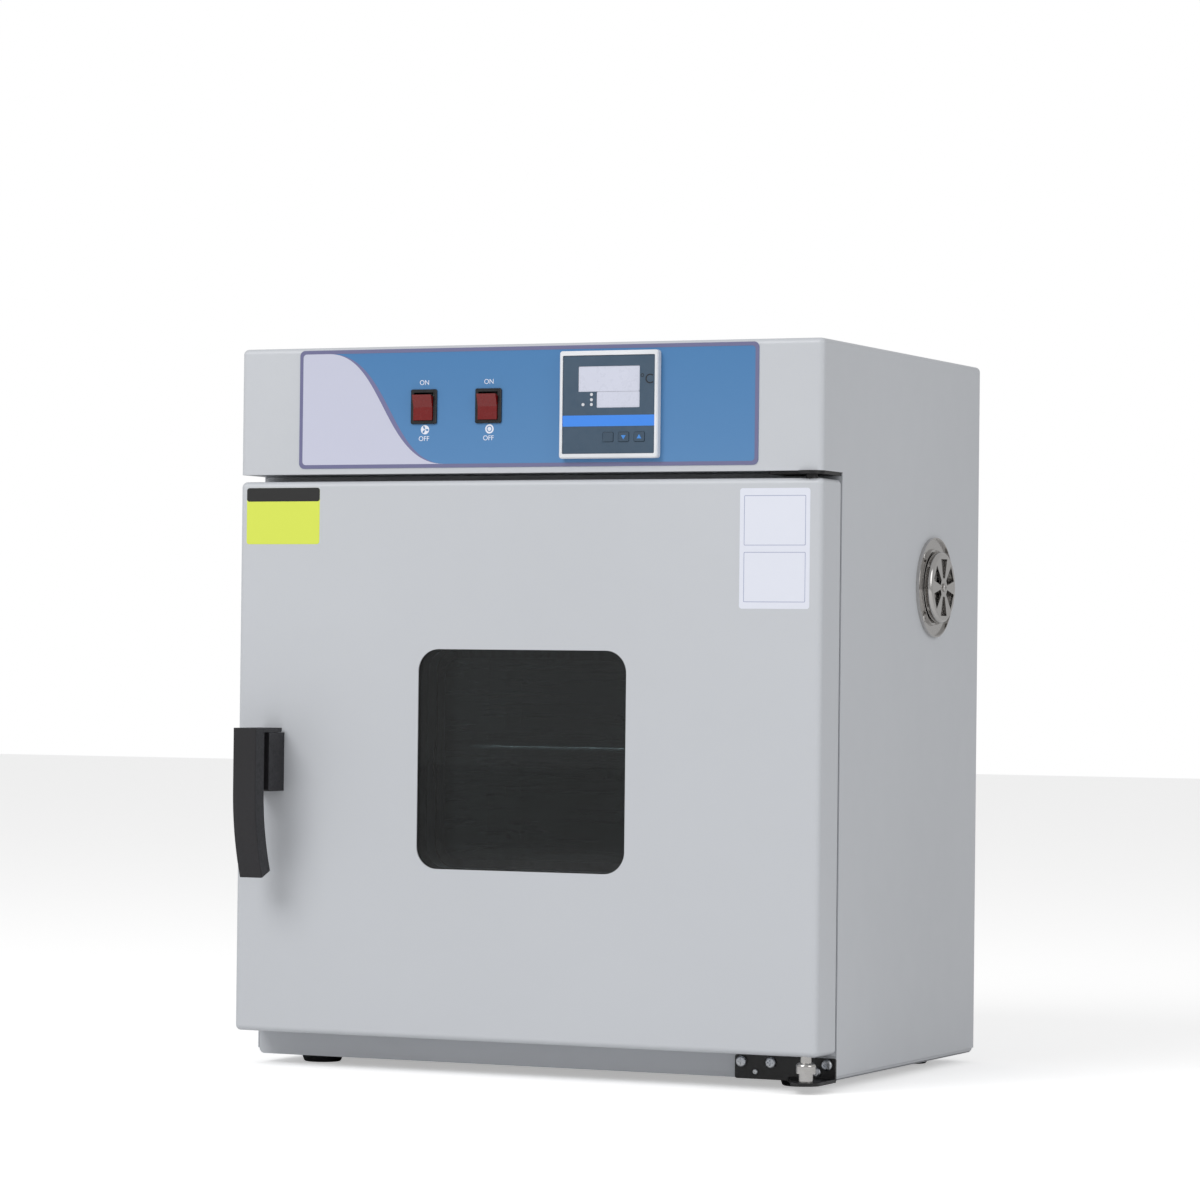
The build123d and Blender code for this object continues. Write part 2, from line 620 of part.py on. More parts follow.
def tail_slot(y0, y1):
    """The slot that the latch hook swings in."""
    half = HOOK_T / 2 + 1.5
    return block(HANDLE_X - half, HANDLE_X + half, y0, y1, PIVOT_Z - 15, PIVOT_Z + 9)


def make_door_inner_panel():
    """The inside sheet of the door, between the lips and the wool."""
    gap = SHEET + 2.5
    y1 = DOOR_T - SHEET
    panel = block(-HALF_W + gap, HALF_W - gap, y1 - LINER_T, y1, DOOR_Z0 + gap, DOOR_Z1 - gap)
    panel -= slab_xz(WINDOW_W - 16, WINDOW_H - 16, WINDOW_R - 6, y1 - 5, y1 + 5, 0, WINDOW_Z)
    x0, x1, z0, z1 = pocket_walls(LINER_T)
    return panel - block(x0, x1, y1 - 5, y1 + 5, z0, z1)


def pocket_walls(inset):
    half_w, down, up = 15.0, 24.0, 20.0
    return (HANDLE_X - half_w + inset, HANDLE_X + half_w - inset,
            PIVOT_Z - down + inset, PIVOT_Z + up - inset)


def make_latch_pocket():
    """A thin cup in the door that the hook and striker meet in."""
    y0, y1 = SHEET, DOOR_T - SHEET - LINER_T
    x0, x1, z0, z1 = pocket_walls(0)
    cup = block(x0, x1, y0, y1, z0, z1)
    a0, a1, b0, b1 = pocket_walls(LINER_T)
    cup -= block(a0, a1, y0 + LINER_T, y1 + 1, b0, b1)
    return cup - tail_slot(y0 - 1, y0 + 3)


def make_door_insulation():
    """Wool between the door's sheets, clear of the window, pocket and hinge blocks."""
    gap = CORNER_R
    y0, y1 = SHEET + FIT, DOOR_T - SHEET - LINER_T - FIT
    wool = block(-HALF_W + gap, HALF_W - gap, y0, y1, DOOR_Z0 + gap, DOOR_Z1 - gap)
    clear = 2 * (GLASS_RIM + FRAME_T + FIT)
    wool -= slab_xz(WINDOW_W + clear, WINDOW_H + clear, WINDOW_R + clear / 2, y0 - 1, y1 + 1,
                    0, WINDOW_Z)
    x0, x1, z0, z1 = pocket_walls(-FIT)
    wool -= block(x0, x1, y0 - 1, y1 + 1, z0, z1)
    for z0, z1 in hinge_block_heights():
        wool -= block(HINGE_X - 13, HALF_W, y0 - 1, HINGE_Y + 12, z0 - FIT, z1 + FIT)
    for z in handle_screw_heights():
        wool -= rod_y(4, y0 - 1, 10, HANDLE_X, z)
    return wool


def make_outer_glass():
    """The front pane, held behind the skin by its rim."""
    rim = 2 * GLASS_RIM
    return slab_xz(WINDOW_W + rim, WINDOW_H + rim, WINDOW_R + GLASS_RIM, SHEET,
                   SHEET + GLASS_T, 0, WINDOW_Z)


def make_window_seal():
    """A rubber frame behind the front pane."""
    y0 = SHEET + GLASS_T
    return ring_xz(WINDOW_W, WINDOW_H, WINDOW_R, GLASS_RIM, y0, SEAL_BACK, WINDOW_Z)


def make_window_frame():
    """The formed sheet that lines the window from the seal to the inner pane."""
    y1 = DOOR_T - SHEET - LINER_T
    frame = ring_xz(WINDOW_W, WINDOW_H, WINDOW_R, FRAME_T, SEAL_BACK, y1, WINDOW_Z)
    frame += ring_xz(WINDOW_W, WINDOW_H, WINDOW_R, GLASS_RIM, SEAL_BACK,
                     SEAL_BACK + SHEET, WINDOW_Z)
    return frame


def make_inner_glass():
    y1 = DOOR_T - SHEET - LINER_T
    w, h = WINDOW_W - 0.4, WINDOW_H - 0.4
    return slab_xz(w, h, WINDOW_R - 0.2, y1 - GLASS_T, y1, 0, WINDOW_Z)


def make_door_gasket():
    """A silicone profile with a hollow bead, on the door's inner sheet."""
    w, h = CHAMBER_W + 8, CHAMBER_H + 8
    y0 = DOOR_T - SHEET
    gasket = ring_xz(w, h, CHAMBER_R + 4, GASKET_W, y0, FRAME_Y - FIT, CHAMBER_Z)
    groove = ring_xz(w + 8, h + 8, CHAMBER_R + 8, GASKET_W - 8, FRAME_Y - FIT - 1.0,
                     FRAME_Y + 1, CHAMBER_Z)
    return gasket - groove


def hinge_block_heights():
    return ((DOOR_Z0 + SHEET, DOOR_Z0 + 26), (DOOR_Z1 - 26, DOOR_Z1 - SHEET))


def make_hinge_blocks():
    """Steel blocks inside the door's corners that turn on the hinge pins."""
    blocks = []
    inside = door_hollow()
    for z0, z1 in hinge_block_heights():
        piece = block(HINGE_X - 12, HALF_W, 0, HINGE_Y + 11, z0, z1) & inside
        blocks.append(piece - rod_z(HINGE_PIN_R + RUN, z0 - 1, z1 + 1, HINGE_X, HINGE_Y))
    return group(blocks)


def hinge_screw_places():
    """Places on the lower bracket, as X, Z and head radius."""
    z = PAN_Z + 14.7
    left = HALF_W - BRACKET_W
    return ((left + 6.6, z, 5.0), (left + 34.8, z, 5.0), (HALF_W - 7.5, z, 5.0),
            (HALF_W - 17.5, PAN_Z + 8.2, 4.4), (left + 19.8, PAN_Z + 6.0, 2.4))


def make_lower_hinge_bracket():
    """An angle: a plate on the plinth and a tongue that reaches under the door."""
    left = HALF_W - BRACKET_W
    z0, z1 = PAN_Z - 0.5, PAN_Z + 20.5
    y0 = FRAME_Y - BRACKET_T
    plate = block(left, HALF_W, y0, FRAME_Y, z0, z1)
    corners = plate.edges().filter_by(Axis.Y)
    plate = fillet(corners, 2.0)
    root = left + 50
    outline = Polyline((root, FRAME_Y - 1), (HALF_W, FRAME_Y - 1), (HALF_W, HINGE_Y),
                       (HINGE_X - HINGE_INSET, HINGE_Y), (root + 4, y0 - 8), close=True)
    tongue = extrude(make_face(outline), BRACKET_T) + Pos(
        HINGE_X, HINGE_Y, BRACKET_T / 2) * Cylinder(HINGE_INSET, BRACKET_T)
    bracket = plate + Pos(0, 0, z0) * tongue
    return bracket - rod_z(HINGE_PIN_R + 0.02, z0 - 1, z0 + 10, HINGE_X, HINGE_Y)


def make_lower_hinge_pin():
    """The pin with its bright collar, standing on the tongue."""
    z0 = PAN_Z - 0.5
    collar_z = PAN_Z + 10
    pin = rod_z(HINGE_PIN_R, z0, DOOR_Z0 + 18, HINGE_X, HINGE_Y)
    collar = rod_z(COLLAR_R, collar_z, collar_z + 9, HINGE_X, HINGE_Y)
    collar = fillet(collar.edges().group_by(Axis.Z)[-1], 3.0)
    stem = rod_z(HINGE_PIN_R + 1.5, z0 + BRACKET_T, collar_z, HINGE_X, HINGE_Y)
    return pin + collar + stem


def make_upper_hinge_bracket():
    """A plate under the header with the upper pin."""
    z1 = HEADER_Z
    plate = block(HINGE_X - 40, HALF_W - 1, HINGE_Y, FRAME_Y, z1 - BRACKET_T, z1)
    nose = Pos(HINGE_X, HINGE_Y, z1 - BRACKET_T / 2) * Cylinder(HINGE_INSET - 1, BRACKET_T)
    pin = rod_z(HINGE_PIN_R, DOOR_Z1 - 18, z1 - 1, HINGE_X, HINGE_Y)
    return plate + nose + pin


def make_hinge_screws():
    heads = []
    for x, z, r in hinge_screw_places():
        place = Pos(x, FRAME_Y - BRACKET_T, z) * Rot(90, 0, 0)
        heads.append(place * screw_head(r, min(3.2, r * 0.62)))
    return group(heads)


def make_handle_block():
    """The fixed block, slotted for the hook and bored for the pivot pin."""
    half = HANDLE_W / 2
    top = HANDLE_TOP - LEVER_CAP_T - 0.4
    piece = block(HANDLE_X - half, HANDLE_X + half, -BLOCK_PROUD, 0, BLOCK_BOTTOM, top)
    piece = fillet(piece.edges().group_by(Axis.Z)[0].filter_by(Axis.X).sort_by(Axis.Y)[0], 3)
    slot = HOOK_T / 2 + 1.0
    piece -= block(HANDLE_X - slot, HANDLE_X + slot, -20, 1, PIVOT_Z - 16, top + 1)
    return piece - rod_x(PIN_R + 0.02, HANDLE_X - half + 1.2, HANDLE_X + half - 1.2,
                         PIVOT_Y, PIVOT_Z)


def make_handle_pin():
    half = HANDLE_W / 2 - 1.2
    return rod_x(PIN_R, HANDLE_X - half, HANDLE_X + half, PIVOT_Y, PIVOT_Z)


def handle_screw_heights():
    return BLOCK_BOTTOM + 7.5, BLOCK_BOTTOM + 17.0


def make_handle_screws():
    """Two screws that hold the block through the door's skin."""
    heads = []
    for z in handle_screw_heights():
        heads.append(Pos(HANDLE_X, SHEET, z) * Rot(-90, 0, 0) * screw_head(3.4, 2.2))
    return group(heads)


def make_handle_lever():
    """A cap over the block and a grip that bows in towards the door at its end."""
    front, back = -LEVER_PROUD, -LEVER_PROUD + LEVER_T
    top, knee = HANDLE_TOP, HANDLE_TOP - LEVER_STRAIGHT
    drop = LEVER_L - LEVER_STRAIGHT
    sweep_angle = drop / LEVER_ARC_R
    r = LEVER_ARC_R

    def bow(y, radius):
        """End of an arc that leaves the knee straight down and bends to the door."""
        return (y + radius * (1 - cos(sweep_angle)), knee - radius * sin(sweep_angle))

    outer_end = bow(front, r)
    inner_end = bow(back, r - LEVER_T)
    with BuildPart() as lever:
        with BuildSketch(Plane.YZ):
            with BuildLine():
                Line((front, knee), (front, top))
                Line((front, top), (PIVOT_Y, top))
                Line((PIVOT_Y, top), (PIVOT_Y, top - LEVER_CAP_T + 1.2))
                Line((PIVOT_Y, top - LEVER_CAP_T + 1.2), (PIVOT_Y - 1.2, top - LEVER_CAP_T))
                Line((PIVOT_Y - 1.2, top - LEVER_CAP_T), (back, top - LEVER_CAP_T))
                Line((back, top - LEVER_CAP_T), (back, knee))
                JernArc((back, knee), (0, -1), r - LEVER_T, degrees(sweep_angle))
                Line(inner_end, outer_end)
                JernArc((front, knee), (0, -1), r, degrees(sweep_angle))
            make_face()
        extrude(amount=HANDLE_W / 2, both=True)
    piece = Pos(HANDLE_X, 0, 0) * lever.part
    edges = piece.edges().group_by(Axis.Y)[0].filter_by(Axis.Z)
    return fillet(edges, 1.5)


def make_latch_hook():
    """The steel hook under the lever's cap, turning on the pin and reaching into the door."""
    top = HANDLE_TOP - LEVER_CAP_T
    y1 = HOOK_REACH
    half = HOOK_T / 2
    tail = block(-half, half, PIVOT_Y, y1, PIVOT_Z - 6, PIVOT_Z + 2)
    nose = block(-half, half, y1 - 5.7, y1, PIVOT_Z - 6, PIVOT_Z + 12)
    nose = chamfer(nose.edges().group_by(Axis.Z)[-1].filter_by(Axis.X).sort_by(Axis.Y)[-1], 3)
    stem = block(-half, half, PIVOT_Y - 11, PIVOT_Y - 1.4, PIVOT_Z - 4, top)
    hub = rod_x(6.5, -half, half, PIVOT_Y, PIVOT_Z)
    hook = tail + nose + stem + hub - rod_x(PIN_R + RUN, -half - 1, half + 1, PIVOT_Y, PIVOT_Z)
    return Pos(HANDLE_X, 0, 0) * hook


def make_striker():
    """A looped bracket on the front frame that the hook closes behind."""
    half = 10.3
    z = PIVOT_Z + 2 + 1 + STRIKER_R
    base = block(HANDLE_X - half - 1.5, HANDLE_X + half + 1.5, FRAME_Y - 2, FRAME_Y, z - 8, z + 8)
    for side in (-1, 1):
        x = HANDLE_X + side * (half - 1.5)
        base += block(x - 1.5, x + 1.5, STRIKER_Y, FRAME_Y - 1, z - 4, z + 4)
        base += rod_x(4, x - 1.5, x + 1.5, STRIKER_Y, z)
    return base + rod_x(STRIKER_R, HANDLE_X - half, HANDLE_X + half, STRIKER_Y, z)


def make_vent_tube():
    x0, x1 = CHAMBER_W / 2, HALF_W + 0.6
    tube = rod_x(VENT_TUBE_R, x0, x1, VENT_Y, VENT_Z)
    return tube - rod_x(VENT_TUBE_R - 1.5, x0 - 5, x1 + 5, VENT_Y, VENT_Z)


def vent_frame():
    """Turns a piece made on the XY plane so that it faces out of the right side."""
    return Pos(HALF_W, VENT_Y, VENT_Z) * Rot(0, 90, 0)


def wedge_slots(r0, r1, z0, z1, width_deg):
    slots = []
    for k in range(VENT_SLOTS):
        a = radians(360 / VENT_SLOTS * k)
        h = radians(width_deg / 2)
        outline = Polyline((r0 * cos(a - h), r0 * sin(a - h)), (r1 * cos(a - h), r1 * sin(a - h)),
                           (r1 * cos(a + h), r1 * sin(a + h)), (r0 * cos(a + h), r0 * sin(a + h)),
                           close=True)
        slots.append(Pos(0, 0, z0) * extrude(make_face(outline), z1 - z0))
    return slots


def make_vent_flange():
    """The pressed ring on the cabinet's side, with the fixed slotted disc of the damper."""
    t = 1.0
    ring = Pos(0, 0, t / 2) * Cylinder(VENT_FLANGE_R, t)
    ring += Pos(0, 0, 1.6) * (Cylinder(VENT_FLANGE_R, 3.2) - Cylinder(VENT_FLANGE_R - 1.2, 4))
    ring += Pos(0, 0, 1.5) * (Cylinder(VENT_CAP_R + 3, 3) - Cylinder(VENT_CAP_R + 1.6, 4))
    ring -= Pos(0, 0, 0) * Cylinder(VENT_TUBE_R + 0.1, 1.3)
    for cut in wedge_slots(8, VENT_TUBE_R - 1, -1, 3, 28):
        ring -= cut
    for x, y in vent_screw_places():
        ring -= Pos(x, y, 0) * Cylinder(1.8, 6)
    ring -= Cylinder(2.0 + 0.02, 10)
    return vent_frame() * ring


def vent_screw_places():
    r = (VENT_FLANGE_R + VENT_CAP_R) / 2 + 0.7
    return [(r * cos(radians(45 + 90 * k)), r * sin(radians(45 + 90 * k))) for k in range(4)]


def make_vent_screws():
    return group(vent_frame() * Pos(x, y, 1.0) * screw_head(3.0, 1.8)
                 for x, y in vent_screw_places())


def make_vent_cap():
    """The raised cap that turns to open or close the damper."""
    z0, z1 = 1.3, VENT_CAP_PROUD
    cup = Pos(0, 0, (z0 + z1) / 2) * Cylinder(VENT_CAP_R, z1 - z0)
    cup = fillet(cup.edges().group_by(Axis.Z)[-1], 3.5)
    core = Pos(0, 0, z0 + (z1 - z0 - 2.4) / 2 + 0.6) * Cylinder(VENT_CAP_R - 1.2, z1 - z0 - 2.4)
    cup -= fillet(core.edges().group_by(Axis.Z)[-1], 2.3)
    cup -= Pos(0, 0, z0) * Cylinder(VENT_CAP_R - 9, 3)
    for cut in wedge_slots(9, VENT_CAP_R - 5.5, z1 - 3, z1 + 1, 34):
        cup -= cut
    hub = Pos(0, 0, (z0 + z1 - 1) / 2) * Cylinder(5, z1 - 1 - z0)
    cup += hub
    return vent_frame() * (cup - Cylinder(2.0 + RUN, 60))


def make_vent_pivot():
    """The centre screw that the cap turns on."""
    z1 = VENT_CAP_PROUD
    pin = Pos(0, 0, z1 / 2 - 0.5) * Cylinder(2.0, z1 + 1)
    return vent_frame() * (pin + Pos(0, 0, z1 + 0.1) * screw_head(3.8, VENT_SCREW_PROUD - 0.1))


def build_parts():
    parts["outer_shell"] = make_outer_shell()
    parts["header_floor"] = make_header_floor()
    parts["base_pan"] = make_base_pan()
    parts["back_panel"] = make_back_panel()
    parts["back_screws"] = make_back_screws()
    parts["front_frame"] = make_front_frame()
    parts["chamber_liner"] = make_chamber_liner()
    parts["cabinet_insulation"] = make_cabinet_insulation()
    parts["duct_plate"] = make_duct_plate()
    parts["duct_screws"] = make_duct_screws()
    parts["fan_impeller"] = make_fan_impeller()
    parts["fan_shaft"] = make_fan_shaft()
    parts["fan_motor"] = make_fan_motor()
    parts["motor_bracket"] = make_motor_bracket()
    parts["heater_element"] = make_heater()
    parts["temperature_probe"] = make_temperature_probe()
    parts["shelf_rails"] = make_shelf_rails()
    parts["wire_shelf"] = make_wire_shelf()
    parts["rubber_feet"] = make_feet()
    parts["power_inlet"] = make_power_inlet()
    parts["power_relay"] = make_power_relay()
    parts["membrane_panel"] = make_membrane_panel()
    parts["controller_case"] = make_controller_case()
    parts["controller_face"] = make_controller_face()
    parts["display_windows"] = make_display_windows()
    parts["indicator_leds"] = make_indicator_leds()
    for number, name in enumerate(("set", "down", "up")):
        parts[f"{name}_key"] = make_key(number)
    for x, name in zip(SWITCH_X, ("fan", "power")):
        parts[f"{name}_switch_housing"] = make_switch_housing(x)
        parts[f"{name}_rocker"] = make_rocker(x)
    parts["door_skin"] = make_door_skin()
    parts["door_inner_panel"] = make_door_inner_panel()
    parts["door_insulation"] = make_door_insulation()
    parts["outer_glass"] = make_outer_glass()
    parts["window_seal"] = make_window_seal()
    parts["window_frame"] = make_window_frame()
    parts["inner_glass"] = make_inner_glass()
    parts["door_gasket"] = make_door_gasket()
    parts["hinge_blocks"] = make_hinge_blocks()
    parts["latch_pocket"] = make_latch_pocket()
    parts["lower_hinge_bracket"] = make_lower_hinge_bracket()
    parts["lower_hinge_pin"] = make_lower_hinge_pin()
    parts["upper_hinge_bracket"] = make_upper_hinge_bracket()
    parts["hinge_screws"] = make_hinge_screws()
    parts["handle_block"] = make_handle_block()
    parts["handle_pin"] = make_handle_pin()
    parts["handle_screws"] = make_handle_screws()
    parts["handle_lever"] = make_handle_lever()
    parts["latch_hook"] = make_latch_hook()
    parts["striker"] = make_striker()
    parts["vent_tube"] = make_vent_tube()
    parts["vent_flange"] = make_vent_flange()
    parts["vent_screws"] = make_vent_screws()
    parts["vent_cap"] = make_vent_cap()
    parts["vent_pivot"] = make_vent_pivot()


def export_parts():
    """Writes every piece with the origin under the middle of the whole object's box."""
    os.makedirs("parts", exist_ok=True)
    right = HALF_W + VENT_CAP_PROUD + VENT_SCREW_PROUD
    back = CABINET_D + INLET_PROUD
    to_origin = Pos(-(right - HALF_W) / 2, -(back - LEVER_PROUD) / 2, 0)
    for name, piece in parts.items():
        if isinstance(piece, Compound) and piece.children:
            moved = Compound(children=[to_origin * child for child in piece.children])
        else:
            moved = to_origin * piece
        export_step(moved, f"parts/{name}.step")


build_parts()
export_parts()
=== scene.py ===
"""Finishes, printed overlay, marks, labels and studio for the bench-top incubator."""

from math import cos, pi, radians, sin

import bpy
from mathutils import Matrix, Vector


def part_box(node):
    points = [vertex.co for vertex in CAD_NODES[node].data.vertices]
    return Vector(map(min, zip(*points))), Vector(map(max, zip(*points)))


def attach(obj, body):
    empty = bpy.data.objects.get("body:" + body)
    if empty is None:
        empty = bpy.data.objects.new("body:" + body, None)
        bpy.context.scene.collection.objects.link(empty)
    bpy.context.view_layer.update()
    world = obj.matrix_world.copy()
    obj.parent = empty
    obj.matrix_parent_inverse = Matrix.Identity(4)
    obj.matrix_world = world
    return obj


bl_info = {
    "name": "Bench Incubator Looks",
    "version": (1, 0, 0),
    "blender": (4, 5, 0),
    "location": "View3D > Sidebar > Incubator",
    "description": "Dresses the packed incubator with finishes, prints and labels, and sets the studio",
    "category": "Object",
}

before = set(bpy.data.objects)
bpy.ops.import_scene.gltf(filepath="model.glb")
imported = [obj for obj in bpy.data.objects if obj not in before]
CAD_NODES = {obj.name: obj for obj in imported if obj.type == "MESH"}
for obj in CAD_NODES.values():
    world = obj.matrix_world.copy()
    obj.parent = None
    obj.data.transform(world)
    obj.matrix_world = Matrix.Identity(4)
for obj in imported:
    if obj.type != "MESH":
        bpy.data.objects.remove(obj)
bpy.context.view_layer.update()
MM = 0.001

# Noise texture's values gather between these
NOISE_LOW = 0.3
NOISE_HIGH = 0.7

# Outlines
CORNER_STEPS = 8
CIRCLE_STEPS = 40
CURVE_STEPS = 40

# Header overlay
OVERLAY_CORNER = 5 * MM
FIELD_TOP_W = 30 * MM
FIELD_BOTTOM_W = 148 * MM
FIELD_TOP_PULL = 56 * MM
FIELD_BOTTOM_PULL = 62 * MM
FIELD_CORNER = 2 * MM
STROKE_TAPER = 0.7
STROKE_FILM_SHARE = 0.8

# Switch marks, with angles in degrees
FONT_SIZE_PER_HEIGHT = 1.35
ON_WORD_RISE = 6 * MM
OFF_WORD_DROP = 13.5 * MM
DISC_R = 4.2 * MM
DISC_SHIFT = 1 * MM
DISC_DROP = 5.2 * MM
BLADES = 3
BLADE_STEPS = 12
BLADE_START = -4
BLADE_SWEEP = 56
BLADE_ROOT_R = 0.5 * MM
BLADE_REACH = 3.1 * MM
BLADE_FULLNESS = 0.6
RING_R = 2.7 * MM
RING_BORE_R = 2 * MM

# Controller marks, measured down from the face's top edge
BAND_TOP = 53.5 * MM
BAND_BOTTOM = 63.3 * MM
BAND_CORNER = 0.4 * MM
UNIT_H = 9 * MM
UNIT_INSET = 8 * MM
UNIT_DROP = 22 * MM
ARROW_TIP = 2.2 * MM
ARROW_TAIL = 1.5 * MM
ARROW_HALF_W = 2.3 * MM

# Door labels
INK_FILM_SHARE = 0.4
YELLOW_INSET = 7 * MM
YELLOW_DROP = 5.7 * MM
YELLOW_HEAD_H = 12.5 * MM
WHITE_INSET = 11.6 * MM
WHITE_DROP = 8.8 * MM
PANE_STARTS = (0.06, 0.53)
PANE_H = 44 * MM
PANE_MARGIN = 4 * MM
PANE_CORNER = 1 * MM
PANE_BORE_CORNER = 0.7 * MM
RULE_W = 0.5 * MM

# Studio, in metres
FLOOR_REACH = 12.0
FLOOR_WHITE = (0.86, 0.86, 0.86)
FLOOR_ROUGHNESS = 0.9
FLOOR_GLOW = 0.42
WHITE = (1.0, 1.0, 1.0)
LAMP_AIM = Vector((0, 0, 0.33))
KEY_PLACE = Vector((-1.2, -3.2, 3.0))
KEY_SIZE = 2.6
FILL_PLACE = Vector((3.2, -1.2, 1.8))
FILL_SIZE = 2.4
FILL_SHARE = 0.28
SENSOR_W_MM = 36.0


def srgb(red, green, blue):
    """A colour written as 0 to 255 display values, in the shader's linear values."""
    linear = []
    for value in (red, green, blue):
        v = value / 255
        linear.append(v / 12.92 if v <= 0.04045 else ((v + 0.055) / 1.055) ** 2.4)
    return tuple(linear)


def four(colour):
    """The colour with a full alpha."""
    return (*colour, 1.0)


def scaled(colour, factor):
    """The colour made lighter or darker."""
    return tuple(min(1.0, c * factor) for c in colour)


def colour_property(name, description, default):
    return bpy.props.FloatVectorProperty(
        name=name, description=description, subtype="COLOR", size=3,
        min=0.0, max=1.0, default=default,
    )


def length_property(name, description, default):
    return bpy.props.FloatProperty(
        name=name, description=description, unit="LENGTH", default=default, min=0.0,
    )


def angle_property(name, description, degrees):
    return bpy.props.FloatProperty(
        name=name, description=description, subtype="ANGLE", default=radians(degrees),
    )


class IncubatorFinishes(bpy.types.PropertyGroup):
    """Colours that a user would change."""

    paint: colour_property("Paint", "Powder coat of the cabinet and door", srgb(197, 200, 205))
    overlay: colour_property("Overlay", "Main colour of the header's overlay", srgb(66, 122, 174))
    overlay_foot: colour_property("Overlay foot", "Overlay at its lower edge", srgb(82, 132, 182))
    overlay_pale: colour_property("Overlay field", "Pale field on its left", srgb(196, 198, 216))
    overlay_line: colour_property("Overlay line", "Line beside the field", srgb(112, 112, 152))
    overlay_border: colour_property("Overlay border", "Line round the overlay", srgb(108, 108, 144))
    mark: colour_property("Switch marks", "Words and discs at the switches", srgb(226, 229, 240))
    rocker: colour_property("Rocker", "Switch rockers", srgb(112, 4, 4))
    slate: colour_property("Slate", "Face of the controller", srgb(58, 80, 100))
    band: colour_property("Band", "Bright band on the controller", srgb(62, 140, 240))
    unit: colour_property("Unit", "Unit mark beside the display", srgb(22, 30, 40))
    arrow: colour_property("Arrows", "Arrows on the controller's keys", srgb(66, 136, 214))
    glass: colour_property("Glass", "Tint of the window's panes", (0.4, 0.44, 0.45))
    plastic: colour_property("Plastic", "Handle and other black mouldings", srgb(26, 25, 29))
    yellow: colour_property("Yellow label", "Plain label at the door's top left", srgb(214, 226, 84))
    yellow_head: colour_property("Yellow label's head", "Dark head of it", srgb(30, 30, 30))
    white: colour_property("White label", "Plain label at the top right", srgb(222, 225, 236))
    rule: colour_property("White label's rules", "Lines round its panes", srgb(150, 156, 186))


class IncubatorPrints(bpy.types.PropertyGroup):
    """Sizes of what is printed or stuck on."""

    film: length_property("Film", "How far a print or label stands proud", 0.12 * MM)
    border: length_property("Border", "Width of the overlay's border line", 3.4 * MM)
    stroke: length_property("Stroke", "Widest part of the line beside the pale field", 5.2 * MM)
    mark_height: length_property("Mark height", "Height of the switch words", 4.6 * MM)
    label_radius: length_property("Label corner", "Corner radius of the door's labels", 2.5 * MM)
    yellow_width: length_property("Yellow width", "Width of the yellow label", 75.8 * MM)
    yellow_height: length_property("Yellow height", "Height of the yellow label", 51.8 * MM)
    white_width: length_property("White width", "Width of the white label", 66.4 * MM)
    white_height: length_property("White height", "Height of the white label", 106 * MM)


class IncubatorStudio(bpy.types.PropertyGroup):
    """Where the camera stands and how the studio is lit."""

    camera: bpy.props.FloatVectorProperty(
        name="Camera", description="Place of the camera", subtype="XYZ", unit="LENGTH",
        default=(1.73295, -3.8559, 0.3679),
    )
    turn: angle_property("Turn", "Camera's turn from straight on", 24.31)
    tilt: angle_property("Tilt", "Camera's upward tilt", 0.89)
    roll: angle_property("Roll", "Camera's roll", 0.64)
    lens: bpy.props.FloatProperty(
        name="Lens", description="Focal length in millimetres", default=135.95, min=10.0,
    )
    world: bpy.props.FloatProperty(
        name="World", description="Strength of the surrounding light", default=0.5, min=0.0,
    )
    key: bpy.props.FloatProperty(
        name="Key", description="Power of the front lamp in watts", default=84.0, min=0.0,
    )


